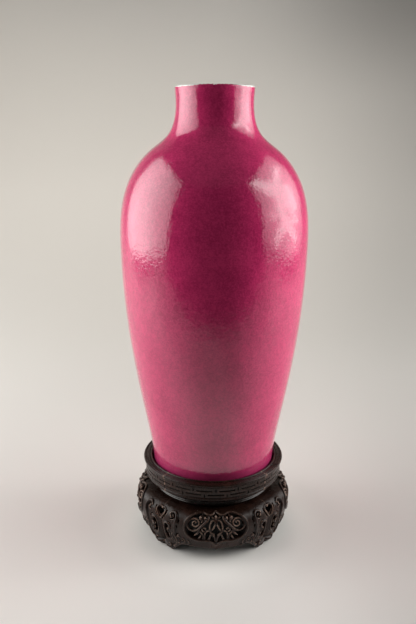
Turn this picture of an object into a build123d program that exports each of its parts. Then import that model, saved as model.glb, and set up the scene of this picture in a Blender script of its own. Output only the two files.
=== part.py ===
from build123d import *
import math
import os

# A ruby-enamelled porcelain vase standing in its carved hardwood stand.
# Millimetres, +Z up, origin on the floor under the centre of the stand.
# The front of the stand faces -Y. Azimuths are counted from the front towards +X.

# ---- vase
vase_height = 379.3
foot_radius = 61.0
wall = 4.6
base_thickness = 8.0
foot_ring_width = 7.5
foot_recess = 5.0
recess_crown = 1.0
foot_chamfer = 0.8
# the outside: heights are above the foot, drops are below the lip
heel_height = 14.0
heel_swell = 0.5
low_flank_height = 57.0
low_flank_swell = 7.2
high_flank_height = 137.0
high_flank_inset = 7.4
belly_height = 231.0
belly_radius = 89.5
shoulder_drop = 92.5
shoulder_inset = 6.0
crown_drop = 57.0
crown_inset = 29.7
neck_root_drop = 42.0
neck_root_flare = 6.8
neck_drop = 14.0
neck_radius = 36.0
lip_flare = 0.8
lip_thickness = 4.2
lip_lean = 0.12

# ---- stand: heights
skirt_height = 46.7
waist_height = 11.5
seat_thickness = 5.0
collar_height = 20.3

# ---- stand: the collar round the foot of the vase
foot_clearance = 2.3
collar_wall = 8.7
collar_ledge = 7.0
collar_undercut = 6.6
bead_radius = 1.3
fret_band_height = 11.0
fret_band_depth = 0.8
band_taper = 1.0

# ---- stand: the waist moulding and the seat board
waist_taper = 7.9
waist_bore_radius = 48.0
seat_clearance = 0.2
waist_bead_radius = 1.1
ring_rebate = 0.5
ring_clearance = 0.15

# ---- stand: the four skirt boards, each one lobe of the plan
lobe_shift = 11.0
skirt_overhang = 22.5
skirt_bore_radius = 46.0
belly_line_height = 32.0
roll_inset = 2.2
roll_drop = 3.8
crest_inset = 11.0
crest_rise = 1.0
crest_run = 8.0
calf_height = 15.4
calf_inset = 3.2
lobe_foot_inset = 7.0
board_thickness = 14.0
shoulder_thickness = 9.0
glue_line = 0.1

# ---- stand: openings carved in the boards
arch_half_width = 41.0
arch_height = 12.8
arch_drop_point = 2.0
arch_drop_half_width = 3.0
toe_run = 5.0
toe_height = 4.0
cusp_run = 9.0
cusp_height = 9.0
bracket_run = 14.0
cartouche_half_width = 31.0
cartouche_top = 46.5
cartouche_bottom = 19.5
cartouche_dip_place = 7.0
cartouche_dip = 3.0
cartouche_lobe_place = 20.0
tracery_width = 2.6
tracery_recess = 1.5
tracery_depth = 5.0
heart_hoop_radius = 7.2
heart_hoop_drop = 1.0
pendant_hoop_radius = 3.0
pendant_hoop_drop = 9.5
crown_hoop_radius = 3.6
crown_hoop_rise = 8.5
volute_hoop_radius = 7.6
volute_hoop_place = 20.5
volute_hoop_rise = 3.2
curl_hoop_radius = 4.6
curl_hoop_place = 12.4
curl_hoop_drop = 6.0
leaf_hoop_radius = 3.6
leaf_hoop_place = 10.4
leaf_hoop_rise = 7.0
end_hoop_radius = 3.2
end_hoop_place = 22.3
end_hoop_drop = 6.6
heart_width = 15.0
heart_height = 12.0
heart_centre_height = 39.5
heart_cut_reach = 14.0
slot_length = 16.0
slot_width = 3.2
slot_centre_height = 22.0
slot_azimuth = 6.7
slot_tilt = 8.0

# ---- stand: joinery
key_length = 12.0
key_thickness = 2.5
key_height = 9.0
key_rise = 1.0
tongue_width = 6.0
tongue_thickness = 3.0
tongue_bottom = 7.0
tongue_height = 24.0
joint_clearance = 0.1
block_half_width = 6.5
block_depth = 11.0
block_bottom = 5.0
block_height = 28.0
block_spare = 2.0
peg_radius = 2.0
peg_clearance = 0.1
peg_azimuth = 20.0
collar_peg_depth = 4.0
ring_peg_depth = 5.0
shoulder_peg_depth = 6.0

# ---- worked out from the sizes above
far = 200.0
past = 1.0
lip_start = vase_height - lip_thickness / 2
waist_bottom = skirt_height - ring_rebate
waist_top = skirt_height + waist_height
seat_top = waist_top + seat_thickness
collar_top = waist_top + collar_height
collar_inner_radius = foot_radius + foot_clearance
collar_outer_radius = collar_inner_radius + collar_wall
collar_foot_radius = collar_outer_radius - collar_undercut
ledge_radius = collar_inner_radius - collar_ledge
seat_radius = ledge_radius - seat_clearance
waist_foot_radius = collar_foot_radius - waist_taper
lobe_radius = waist_foot_radius + skirt_overhang - lobe_shift
cavity_radius = lobe_radius - board_thickness
key_radius = (collar_inner_radius + collar_outer_radius) / 2
key_bottom = seat_top + key_rise
collar_peg_radius = (ledge_radius + collar_inner_radius) / 2
shoulder_peg_radius = (waist_bore_radius + waist_foot_radius) / 2
side_names = ["front", "right", "back", "left"]
corner_names = ["front_right", "back_right", "back_left", "front_left"]


def save(solid, name):
    """Write one piece as its own STEP file."""
    export_step(solid, os.path.join("parts", name + ".step"))


def turned(outline):
    """Solid of revolution about Z from a closed outline in the XZ plane."""
    return revolve(make_face(outline), Axis.Z)


def cylinder_between(radius, low, high):
    """Upright cylinder about Z from one height to another."""
    return Pos(0, 0, low) * Cylinder(radius, high - low, align=(Align.CENTER, Align.CENTER, Align.MIN))


def about_stand(solid, azimuth):
    """Turn a piece made at the front round the stand by an azimuth."""
    return Rot(0, 0, azimuth) * solid


def front_wedge(margin):
    """The quarter of space in front of the stand, set back from both mitres by a margin."""
    tip = -margin * math.sqrt(2)
    outline = Polyline((0, tip), (far, tip - far), (-far, tip - far), close=True)
    return extrude(make_face(outline), far)


def single(shape):
    """The one solid of a result that should be one solid."""
    solids = sorted(shape.solids(), key=lambda solid: solid.volume)
    return solids[-1]


# ---------------------------------------------------------------- vase
def vase_outside():
    """Outer curve of the vase from the foot to the lip, in the XZ plane."""
    points = [
        (foot_radius, 0, 0),
        (foot_radius + heel_swell, 0, heel_height),
        (foot_radius + low_flank_swell, 0, low_flank_height),
        (belly_radius - high_flank_inset, 0, high_flank_height),
        (belly_radius, 0, belly_height),
        (belly_radius - shoulder_inset, 0, vase_height - shoulder_drop),
        (belly_radius - crown_inset, 0, vase_height - crown_drop),
        (neck_radius + neck_root_flare, 0, vase_height - neck_root_drop),
        (neck_radius, 0, vase_height - neck_drop),
        (neck_radius + lip_flare, 0, lip_start),
    ]
    return Spline(*points, tangents=[(0, 0, 1), (lip_lean, 0, 1)])


def vase_inside(outside):
    """Inner curve: the outer one moved inwards by the wall, from the floor of the vase up."""
    points = []
    for step in range(1, 16):
        place = step / 16
        spot = outside @ place
        along = outside % place
        inner = Vector(spot.X - wall * along.Z, 0, spot.Z + wall * along.X)
        if base_thickness + wall < inner.Z < vase_height - neck_drop:
            points.append(inner)
    points.append(Vector(neck_radius + lip_flare - lip_thickness, 0, lip_start))
    start = Vector(points[0].X - wall, 0, base_thickness)
    return [start] + points


def make_vase():
    outside = vase_outside()
    inner_points = vase_inside(outside)
    inside = Spline(*inner_points, tangents=[(1, 0, 0.15), (lip_lean, 0, 1)])
    lip_centre = neck_radius + lip_flare - lip_thickness / 2
    lip = ThreePointArc(outside @ 1, (lip_centre, 0, vase_height), inside @ 1)
    well = foot_radius - foot_ring_width
    under = Polyline(
        outside @ 0,
        (well, 0, 0),
        (well, 0, foot_recess),
        (0, 0, foot_recess - recess_crown),
        (0, 0, base_thickness),
        inside @ 0,
    )
    body = turned([outside, lip, inside, under])
    foot_edges = body.edges().filter_by(GeomType.CIRCLE).group_by(Axis.Z)[0]
    return Pos(0, 0, seat_top) * chamfer(foot_edges, foot_chamfer)


# ---------------------------------------------------------------- collar
def collar_outline():
    """Section of the collar: socket wall, ledge, two beads and the band between them."""
    bead = bead_radius
    top = collar_top
    outer = collar_outer_radius
    band_top = top - 3.6 * bead
    band_bottom = band_top - fret_band_height
    band_radius = outer - bead - fret_band_depth / 2
    low_radius = band_radius - band_taper
    socket = Polyline(
        (collar_foot_radius, 0, waist_top),
        (ledge_radius, 0, waist_top),
        (ledge_radius, 0, seat_top),
        (collar_inner_radius, 0, seat_top),
        (collar_inner_radius, 0, top - bead),
        (collar_inner_radius + bead, 0, top),
        (outer - 2 * bead, 0, top - 0.4 * bead),
        (outer - bead, 0, top - 0.6 * bead),
    )
    top_bead = ThreePointArc(
        (outer - bead, 0, top - 0.6 * bead),
        (outer, 0, top - 1.6 * bead),
        (outer - bead, 0, top - 2.6 * bead),
    )
    band = Polyline(
        (outer - bead, 0, top - 2.6 * bead),
        (band_radius, 0, band_top),
        (low_radius, 0, band_bottom),
    )
    low_bead = ThreePointArc(
        (low_radius, 0, band_bottom),
        (low_radius + 0.6 * bead, 0, band_bottom - 0.7 * bead),
        (low_radius - 0.4 * bead, 0, band_bottom - 1.4 * bead),
    )
    under = Line((low_radius - 0.4 * bead, 0, band_bottom - 1.4 * bead), (collar_foot_radius, 0, waist_top))
    return [socket, top_bead, band, low_bead, under]


def collar_key(clearance):
    """Loose key across a collar joint, or its slot when given a clearance."""
    key = Box(
        key_length + 2 * clearance,
        key_thickness + 2 * clearance,
        key_height + 2 * clearance,
    )
    return Pos(0, -key_radius, key_bottom + key_height / 2) * key


def peg(radius, azimuth, low, high):
    """Upright round peg, or its hole, at a radius and azimuth of the stand."""
    return about_stand(Pos(0, -radius, 0) * cylinder_between(peg_radius, low, high), azimuth)


def peg_hole(radius, azimuth, low, high):
    hole = cylinder_between(peg_radius + peg_clearance, low, high)
    return about_stand(Pos(0, -radius, 0) * hole, azimuth)


def make_collar_segment():
    """Front quarter of the collar, with key slots in its ends and peg holes below."""
    segment = turned(collar_outline()) & front_wedge(glue_line / 2)
    for side in (-1, 1):
        segment -= about_stand(collar_key(joint_clearance), 45 * side)
        segment -= peg_hole(
            collar_peg_radius, peg_azimuth * side, waist_top - past, waist_top + collar_peg_depth)
    return single(segment)


# ---------------------------------------------------------------- waist and seat
def waist_outline():
    """Section of the waist moulding: two beads on a slope, over a fillet."""
    bead = waist_bead_radius
    rise = waist_top - waist_bottom
    slope = (collar_foot_radius - waist_foot_radius) / rise

    def on_slope(height):
        return waist_foot_radius + slope * (height - waist_bottom)

    mid = waist_bottom + rise / 2
    high_start = mid + 2.6 * bead
    high_end = mid + 0.4 * bead
    low_start = mid - 0.4 * bead
    low_end = mid - 2.6 * bead
    back = Polyline(
        (waist_foot_radius, 0, low_end - bead),
        (waist_foot_radius, 0, waist_bottom),
        (waist_bore_radius, 0, waist_bottom),
        (waist_bore_radius, 0, waist_top),
        (collar_foot_radius, 0, waist_top),
        (on_slope(high_start), 0, high_start),
    )
    high_bead = ThreePointArc(
        (on_slope(high_start), 0, high_start),
        (on_slope(mid + 1.5 * bead) + bead, 0, mid + 1.5 * bead),
        (on_slope(high_end), 0, high_end),
    )
    quirk = Line((on_slope(high_end), 0, high_end), (on_slope(low_start), 0, low_start))
    low_bead = ThreePointArc(
        (on_slope(low_start), 0, low_start),
        (on_slope(mid - 1.5 * bead) + bead, 0, mid - 1.5 * bead),
        (on_slope(low_end), 0, low_end),
    )
    fillet_line = Line((on_slope(low_end), 0, low_end), (waist_foot_radius, 0, low_end - bead))
    return [back, high_bead, quirk, low_bead, fillet_line]


def make_waist_ring():
    ring = turned(waist_outline())
    for azimuth in peg_azimuths():
        ring -= peg_hole(collar_peg_radius, azimuth, waist_top - ring_peg_depth, waist_top + past)
        ring -= peg_hole(shoulder_peg_radius, azimuth, waist_bottom - past, waist_bottom + ring_peg_depth)
    return single(ring)


def peg_azimuths():
    """Two pegs to each quarter of the stand."""
    return [90 * quarter + side * peg_azimuth for quarter in range(4) for side in (-1, 1)]


def make_seat_board():
    return cylinder_between(seat_radius, waist_top, seat_top)


# ---------------------------------------------------------------- skirt
def skirt_surface(inset):
    """One lobe of the skirt as a solid about its own axis, drawn in by an inset."""
    radius = lobe_radius - inset
    top = skirt_height - inset
    shoulder = Spline(
        (radius - crest_inset - crest_run, 0, top),
        (radius - crest_inset, 0, top + crest_rise),
        (radius - roll_inset, 0, top - roll_drop),
        (radius, 0, belly_line_height),
        (radius - calf_inset, 0, calf_height),
        (radius - lobe_foot_inset, 0, 0),
        tangents=[(1, 0, 0.1), (-0.02, 0, -1)],
    )
    rest = Polyline(shoulder @ 1, (0, 0, 0), (0, 0, top), shoulder @ 0)
    return Pos(0, -lobe_shift, 0) * turned([shoulder, rest])


def lobe_cavity(margin):
    """The hollow behind a board, under its shoulder."""
    top = skirt_height - shoulder_thickness - margin
    return Pos(0, -lobe_shift, 0) * cylinder_between(cavity_radius - margin, -past, top)


def outward_prism(outline):
    """A closed outline in the XZ plane, as a prism from the middle out through the front."""
    return extrude(make_face(outline), far, dir=(0, -1, 0))


def mirrored(points):
    """Points of one half, then the same points mirrored across the middle, as one closed loop."""
    other = [(-x, y, z) for x, y, z in reversed(points)]
    return points + other


def arch_cutter():
    """The opening under a board: toes curl in from the feet to a low arch with a drop point."""
    half = arch_half_width
    points = [
        (half, 0, -past),
        (half, 0, 0),
        (half - toe_run, 0, toe_height),
        (half - cusp_run, 0, cusp_height),
        (half - bracket_run, 0, arch_height),
        (arch_drop_half_width, 0, arch_height),
        (arch_drop_half_width / 4, 0, arch_height - arch_drop_point),
    ]
    return outward_prism(Polyline(*mirrored(points), close=True))


def cartouche_outline(inset):
    """Lobed outline of the pierced panel, drawn in by an inset."""
    half = cartouche_half_width - inset
    top = cartouche_top - inset
    low = cartouche_bottom + inset
    middle = (top + low) / 2
    high_side = Spline(
        (0, 0, top),
        (cartouche_dip_place, 0, top - cartouche_dip),
        (cartouche_lobe_place, 0, top - cartouche_dip / 5),
        (half, 0, middle),
        tangents=[(0.7, 0, -1), (0, 0, -1)],
    )
    low_side = Spline(
        (half, 0, middle),
        (cartouche_lobe_place, 0, low + cartouche_dip),
        (0, 0, low),
        tangents=[(0, 0, -1), (-1, 0, -0.55)],
    )
    return [high_side, low_side, mirror(low_side, Plane.YZ), mirror(high_side, Plane.YZ)]


def ring_of(x, z, radius):
    """One ring of the openwork, as a round hoop seen from the front."""
    hoop = Circle(radius + tracery_width / 2) - Circle(radius - tracery_width / 2)
    return Plane.XZ * (Pos(x, z) * hoop)


def behind_boards():
    """All the space nearer the middle than the inner face of a board."""
    return Pos(0, -lobe_shift, 0) * cylinder_between(cavity_radius, -past, skirt_height + far)


def make_tracery():
    """Openwork of the cartouche: touching hoops, kept inside a thin curved layer of the board."""
    middle = (cartouche_top + cartouche_bottom) / 2
    hoops = [
        (0, middle - heart_hoop_drop, heart_hoop_radius),
        (0, middle - pendant_hoop_drop, pendant_hoop_radius),
        (0, middle + crown_hoop_rise, crown_hoop_radius),
    ]
    for side in (-1, 1):
        hoops.append((side * volute_hoop_place, middle + volute_hoop_rise, volute_hoop_radius))
        hoops.append((side * curl_hoop_place, middle - curl_hoop_drop, curl_hoop_radius))
        hoops.append((side * leaf_hoop_place, middle + leaf_hoop_rise, leaf_hoop_radius))
        hoops.append((side * end_hoop_place, middle - end_hoop_drop, end_hoop_radius))
    pattern = Sketch() + [ring_of(x, z, radius) for x, z, radius in hoops]
    bars = extrude(pattern, far, dir=(0, -1, 0))
    front_layer = skirt_surface(tracery_recess)
    back_layer = skirt_surface(tracery_recess + tracery_depth)
    window = outward_prism(cartouche_outline(-tracery_width))
    return (bars & window & front_layer) - back_layer - behind_boards()


def heart_cutter():
    """Heart-shaped piercing on the mitre of a leg, cut square to the roll of the shoulder."""
    lobe = heart_width / 4
    outline = Pos(lobe, lobe) * Circle(lobe) + Pos(-lobe, lobe) * Circle(lobe)
    point = Polyline(
        (-2 * lobe, lobe), (0, lobe - heart_height + lobe), (2 * lobe, lobe), close=True)
    outline += make_face(point)
    shape = extrude(outline, heart_cut_reach, both=True)
    corner_radius = mitre_radius(lobe_radius - roll_inset)
    return Pos(0, -corner_radius, heart_centre_height) * (Rot(45, 0, 0) * shape)


def slot_cutter(side):
    """Slanted slot beside the tongue of a leg."""
    outline = SlotOverall(slot_length, slot_width, rotation=90)
    shape = extrude(Plane.XZ * outline, far)
    tilted = Pos(0, 0, slot_centre_height) * (Rot(0, -slot_tilt * side, 0) * shape)
    return about_stand(tilted, slot_azimuth * side)


def leg_tongue(clearance):
    """Loose tongue across a mitre, or its slot when given a clearance."""
    tongue_radius = (leg_radius_at_foot() + cavity_corner_radius()) / 2
    plate = Box(
        tongue_width + 2 * clearance,
        tongue_thickness + 2 * clearance,
        tongue_height + 2 * clearance,
    )
    return Pos(0, -tongue_radius, tongue_bottom + tongue_height / 2) * plate


def mitre_radius(radius):
    """How far from the stand's axis a lobe of a given radius meets its mitre."""
    offset = lobe_shift / math.sqrt(2)
    return offset + math.sqrt(radius ** 2 - offset ** 2)


def leg_radius_at_foot():
    return mitre_radius(lobe_radius - lobe_foot_inset)


def cavity_corner_radius():
    return mitre_radius(cavity_radius)


def make_skirt_board():
    """Front board: half a leg at each end, the apron and its openwork between them."""
    board = skirt_surface(0) - lobe_cavity(0)
    board -= cylinder_between(skirt_bore_radius, -past, skirt_height + far)
    board -= cylinder_between(waist_foot_radius + ring_clearance, waist_bottom, skirt_height + far)
    board = board & front_wedge(glue_line / 2)
    board -= arch_cutter()
    board -= outward_prism(cartouche_outline(0)) - behind_boards()
    board += make_tracery()
    for side in (-1, 1):
        board -= about_stand(heart_cutter(), 45 * side)
        board -= about_stand(slot_cutter(-side), 45 * side)
        board -= about_stand(leg_tongue(joint_clearance), 45 * side)
        board -= peg_hole(
            shoulder_peg_radius, peg_azimuth * side, waist_bottom - shoulder_peg_depth, waist_bottom + past)
    return single(board)


def make_corner_block():
    """Glue block behind the mitre of a leg, made at the front."""
    depth = block_depth
    outer = cavity_corner_radius() + block_spare
    body = Pos(0, -(outer - depth / 2), block_bottom + block_height / 2) * Box(
        2 * block_half_width, depth, block_height)
    hollow = None
    for side in (-1, 1):
        part = about_stand(lobe_cavity(glue_line) & front_wedge(0), 45 * side)
        hollow = part if hollow is None else hollow + part
    return single(body & hollow)


# ---------------------------------------------------------------- write every piece
os.makedirs("parts", exist_ok=True)
save(make_vase(), "vase")
save(make_waist_ring(), "waist_ring")
save(make_seat_board(), "seat_board")

collar_segment = make_collar_segment()
skirt_board = make_skirt_board()
for quarter, name in enumerate(side_names):
    save(about_stand(collar_segment, 90 * quarter), "collar_" + name)
    save(about_stand(skirt_board, 90 * quarter), "skirt_" + name)

corner_block = make_corner_block()
for quarter, name in enumerate(corner_names):
    azimuth = 45 + 90 * quarter
    save(about_stand(collar_key(0), azimuth), "collar_key_" + name)
    save(about_stand(leg_tongue(0), azimuth), "leg_tongue_" + name)
    save(about_stand(corner_block, azimuth), "corner_block_" + name)

collar_pegs = [
    peg(collar_peg_radius, azimuth, waist_top - ring_peg_depth, waist_top + collar_peg_depth)
    for azimuth in peg_azimuths()
]
waist_pegs = [
    peg(shoulder_peg_radius, azimuth, waist_bottom - shoulder_peg_depth, waist_bottom + ring_peg_depth)
    for azimuth in peg_azimuths()
]
save(Compound(children=collar_pegs), "collar_pegs")
save(Compound(children=waist_pegs), "waist_pegs")
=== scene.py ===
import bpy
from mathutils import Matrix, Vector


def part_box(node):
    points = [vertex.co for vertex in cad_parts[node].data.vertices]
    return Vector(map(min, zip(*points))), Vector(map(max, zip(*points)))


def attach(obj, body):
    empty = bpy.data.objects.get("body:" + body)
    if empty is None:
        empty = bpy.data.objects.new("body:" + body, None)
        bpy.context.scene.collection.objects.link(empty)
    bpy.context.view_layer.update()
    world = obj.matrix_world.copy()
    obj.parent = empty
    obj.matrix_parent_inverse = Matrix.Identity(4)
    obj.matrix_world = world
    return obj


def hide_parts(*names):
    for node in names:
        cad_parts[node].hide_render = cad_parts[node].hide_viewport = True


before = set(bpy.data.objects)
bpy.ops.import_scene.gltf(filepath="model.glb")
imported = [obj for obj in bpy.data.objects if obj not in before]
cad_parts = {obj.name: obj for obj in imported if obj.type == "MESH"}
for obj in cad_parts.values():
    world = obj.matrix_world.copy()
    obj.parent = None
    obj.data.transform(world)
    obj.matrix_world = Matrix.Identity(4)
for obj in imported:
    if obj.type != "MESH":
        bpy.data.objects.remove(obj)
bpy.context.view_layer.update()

import math

import bpy
import numpy as np
from mathutils import Matrix, Vector, noise

bl_info = {
    "name": "Enamelled vase on a carved stand",
    "version": (1, 0, 0),
    "blender": (4, 5, 0),
    "location": "View3D > Sidebar > Vase",
    "description": "Dresses a vase and its carved hardwood stand, and sets them in a small studio",
    "category": "Object",
}

MM = 0.001
VASE_LOW, VASE_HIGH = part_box("vase")
COLLAR_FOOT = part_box("collar_front")[0][2] / MM
RING_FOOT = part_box("waist_ring")[0][2] / MM
RING_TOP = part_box("waist_ring")[1][2] / MM
RING_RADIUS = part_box("waist_ring")[1][0] / MM
SKIRT_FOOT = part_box("skirt_front")[0][2]
SIDES = ("front", "right", "back", "left")
CORNERS = ("front_right", "back_right", "back_left", "front_left")


# --- settings
def length(name, description, default):
    return bpy.props.FloatProperty(
        name=name, description=description, default=default, unit="LENGTH", precision=4, min=0)


def colour(name, description, default):
    return bpy.props.FloatVectorProperty(
        name=name, description=description, default=default, subtype="COLOR", size=3, min=0, max=1)


def factor(name, description, default):
    return bpy.props.FloatProperty(
        name=name, description=description, default=default, subtype="FACTOR", min=0, max=1)


def brightness(name, description, default):
    return bpy.props.FloatProperty(name=name, description=description, default=default, min=0)


class VaseSettings(bpy.types.PropertyGroup):
    belly_radius: length("Belly radius", "Widest radius of the vase", (VASE_HIGH[0] - VASE_LOW[0]) / 2)
    height: length("Height", "From the foot to the lip", VASE_HIGH[2] - VASE_LOW[2])
    foot_radius: length("Foot radius", "Radius of the foot", 61 * MM)
    neck_radius: length("Neck radius", "Narrowest radius of the neck", 36 * MM)
    wall: length("Wall", "Thickness of the porcelain", 4.6 * MM)
    lip_band: length("Bare lip", "How far the bare lip reaches from its crest", 3.2 * MM)
    enamel: colour("Enamel", "Colour of the ruby enamel", (0.60, 0.037, 0.149))
    enamel_deep: colour("Deep enamel", "Colour where the enamel lies thickest", (0.39, 0.018, 0.094))
    # near the foot the enamel is darker and more purple: partly thicker enamel, partly a painted reflection
    enamel_foot_and_reflection: colour("Foot enamel", "Colour where the enamel pools at the foot", (0.32, 0.034, 0.11))
    glaze: colour("Glaze", "Colour of the clear glaze on white porcelain", (0.88, 0.88, 0.85))
    gloss: factor("Enamel roughness", "How rough the enamel is", 0.035)


class StandSettings(bpy.types.PropertyGroup):
    lobe_shift: length("Lobe shift", "How far each lobe's axis is from the stand's", 11 * MM)
    voxel: length("Carving detail", "Smallest detail of the carving", 0.40 * MM)
    relief: length("Relief", "How far the raised scrolls stand proud", 1.0 * MM)
    fret_depth: length("Fret depth", "How deep the fret is cut", 0.9 * MM)
    fret_count: bpy.props.IntProperty(
        name="Fret repeats", description="Repeats of the fret round the collar", default=20, min=4)
    wood: colour("Wood", "Colour of the stained wood", (0.0140, 0.0062, 0.0043))
    wood_red: colour("Red wood", "Colour where the stain is thin", (0.042, 0.0175, 0.012))
    # the worn colour is partly rubbed wood and partly a painted highlight on raised edges
    wood_worn_and_highlight: colour("Worn wood", "Colour on rubbed edges", (0.27, 0.178, 0.138))
    # painted shade: the waist's wood is a darker copy of the stand's wood, for the shade under the collar
    waist_wood_painted_shade: colour("Dark wood", "Colour of the wood in the waist", (0.005, 0.003, 0.0024))
    inner_wood: colour("Inner wood", "Colour of the unpolished pieces inside", (0.030, 0.017, 0.011))


class StudioSettings(bpy.types.PropertyGroup):
    floor: colour("Floor", "Colour of the paper sweep", (0.80, 0.785, 0.758))
    left: brightness("Left softbox", "Brightness of the left softbox", 5.9)
    right: brightness("Right softbox", "Brightness of the right softbox", 4.1)
    backdrop: brightness("Backdrop lamp", "Power of the lamp over the paper behind", 3.15)
    lamp_left: brightness("Left lamp", "Power of the lamp beside the left softbox", 0.36)
    lamp_right: brightness("Right lamp", "Power of the lamp beside the right softbox", 0.66)
    fill: brightness("Fill", "Brightness of the dim light of the room", 0.05)


# --- outlines
def distances(line):
    """How far along a line each of its points is."""
    return np.r_[0, np.cumsum(np.linalg.norm(np.diff(line, axis=0), axis=1))]


def smooth_line(points, spacing, start=None, end=None):
    """Evenly spaced points on a smooth curve through the given ones, with optional end directions."""
    knots = np.array(points, float)
    chords = np.linalg.norm(np.diff(knots[:, :2], axis=0), axis=1)
    slopes = np.diff(knots, axis=0) / chords[:, None]
    count = len(knots)
    system = np.zeros((count, count))
    target = np.zeros_like(knots)
    for i in range(1, count - 1):
        before, after = chords[i - 1], chords[i]
        system[i, i - 1:i + 2] = after, 2 * (before + after), before
        target[i] = 3 * (after * slopes[i - 1] + before * slopes[i])
    for row, near, direction, slope in ((0, 1, start, slopes[0]), (count - 1, count - 2, end, slopes[-1])):
        if direction is None:
            system[row, row], system[row, near] = 2, 1
            target[row] = 3 * slope
        else:
            system[row, row] = 1
            size = math.hypot(direction[0], direction[1])
            target[row, :2] = direction[0] / size, direction[1] / size
    tangents = np.linalg.solve(system, target)
    fine = []
    for i, chord in enumerate(chords):
        steps = max(4, int(chord / spacing * 4))
        t = np.arange(steps)[:, None] / steps
        fine.append(
            (2 * t**3 - 3 * t**2 + 1) * knots[i] + (t**3 - 2 * t**2 + t) * chord * tangents[i]
            + (3 * t**2 - 2 * t**3) * knots[i + 1] + (t**3 - t**2) * chord * tangents[i + 1])
    fine = np.vstack(fine + [knots[-1:]])
    along = distances(fine[:, :2])
    places = np.linspace(0, along[-1], max(2, int(round(along[-1] / spacing)) + 1))
    return np.column_stack([np.interp(places, along, fine[:, k]) for k in range(knots.shape[1])])


def arc(centre, radius, first, last, steps):
    """Points on an arc, angles in degrees from the first axis."""
    angles = np.radians(np.linspace(first, last, steps + 1))
    return np.column_stack([
        centre[0] + radius * np.cos(angles), centre[1] + radius * np.sin(angles)])


def normals_of(line):
    """Left-hand unit normals of a line of points."""
    along = np.gradient(line[:, :2], axis=0)
    along /= np.linalg.norm(along, axis=1)[:, None]
    return np.column_stack([-along[:, 1], along[:, 0]])


def beside(line, distance):
    """A line moved sideways, to its left, by a distance or one distance per point."""
    shift = np.broadcast_to(np.asarray(distance, float), (len(line),))
    return line[:, :2] + normals_of(line) * shift[:, None]


# --- modelling helpers
def only(*objects):
    """Selects these objects and nothing else, the first of them active."""
    if bpy.context.object and bpy.context.object.mode != "OBJECT":
        bpy.ops.object.mode_set(mode="OBJECT")
    bpy.ops.object.select_all(action="DESELECT")
    for piece in objects:
        piece.select_set(True)
    bpy.context.view_layer.objects.active = objects[0]


def named(piece, name):
    piece.name = name
    piece.data.name = name
    return piece


def lathe(name, outline, steps, first=0.0, sweep=360.0):
    """Draws an outline by extruding one vertex along it, and spins it about Z. Outline in metres."""
    bpy.ops.object.select_all(action="DESELECT")
    bpy.ops.mesh.primitive_plane_add(size=MM, location=(0, 0, 0))
    piece = bpy.context.object
    bpy.ops.object.mode_set(mode="EDIT")
    bpy.ops.mesh.select_mode(type="VERT")
    bpy.ops.mesh.select_all(action="SELECT")
    bpy.ops.mesh.merge(type="CENTER")
    turn = Matrix.Rotation(math.radians(first), 3, "Z")
    spots = [turn @ Vector((0, -r, z)) for r, z in outline]
    bpy.ops.transform.translate(value=spots[0])
    for before, after in zip(spots, spots[1:]):
        bpy.ops.mesh.extrude_vertices_move(TRANSFORM_OT_translate={"value": after - before})
    bpy.ops.mesh.select_all(action="SELECT")
    bpy.ops.mesh.spin(
        steps=steps, angle=-math.radians(sweep), center=(0, 0, 0), axis=(0, 0, 1), dupli=False)
    bpy.ops.mesh.select_all(action="SELECT")
    bpy.ops.mesh.remove_doubles(threshold=2e-6)
    bpy.ops.mesh.normals_make_consistent(inside=False)
    bpy.ops.object.mode_set(mode="OBJECT")
    bpy.ops.object.shade_smooth()
    return named(piece, name)


def numbers(items, key, width=3, kind=float):
    """One row of numbers for each vertex, edge or face."""
    flat = np.empty(len(items) * width, kind)
    items.foreach_get(key, flat)
    return flat.reshape(-1, width)


def coordinates(mesh):
    return numbers(mesh.vertices, "co")


def place(mesh, spots):
    mesh.vertices.foreach_set("co", np.ascontiguousarray(spots, float).ravel())
    mesh.update()


def select_faces(piece, chosen):
    """Selects the faces that an array of booleans names, for edit mode."""
    only(piece)
    bpy.ops.object.mode_set(mode="EDIT")
    bpy.ops.mesh.select_mode(type="FACE")
    bpy.ops.mesh.select_all(action="DESELECT")
    bpy.ops.object.mode_set(mode="OBJECT")
    piece.data.polygons.foreach_set("select", chosen)
    bpy.ops.object.mode_set(mode="EDIT")


def cut(spot, outward, **settings):
    """Cuts all of the piece in edit mode by a plane."""
    bpy.ops.mesh.select_all(action="SELECT")
    bpy.ops.mesh.bisect(plane_co=spot, plane_no=outward, **settings)


def give(mesh, name, values):
    """Stores one number per vertex as an attribute that a material can read."""
    layer = mesh.attributes.new(name, "FLOAT", "POINT")
    layer.data.foreach_set("value", np.asarray(values, float))


def modify(piece, kind, **settings):
    """Adds a modifier with its settings and applies it."""
    only(piece)
    modifier = piece.modifiers.new(kind.title(), kind)
    for key, value in settings.items():
        setattr(modifier, key, value)
    bpy.ops.object.modifier_apply(modifier=modifier.name)


def copied(piece, name, azimuth):
    """A copy with its own mesh, turned about Z."""
    twin = piece.copy()
    twin.data = piece.data.copy()
    bpy.context.collection.objects.link(twin)
    twin.data.transform(Matrix.Rotation(math.radians(azimuth), 4, "Z"))
    return named(twin, name)


# --- materials
class Wire:
    """A socket that can be used in sums."""

    def __init__(self, finish, socket):
        self.finish, self.socket = finish, socket

    def maths(self, operation, *values):
        return self.finish.node("ShaderNodeMath", {"operation": operation}, dict(enumerate(values)))

    def __add__(self, other):
        return self.maths("ADD", self, other)

    __radd__ = __add__

    def __mul__(self, other):
        return self.maths("MULTIPLY", self, other)

    __rmul__ = __mul__

    def __sub__(self, other):
        return self.maths("SUBTRACT", self, other)

    def __rsub__(self, other):
        return self.maths("SUBTRACT", other, self)

    def __truediv__(self, other):
        return self.maths("DIVIDE", self, other)

    def __rtruediv__(self, other):
        return self.maths("DIVIDE", other, self)


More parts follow.
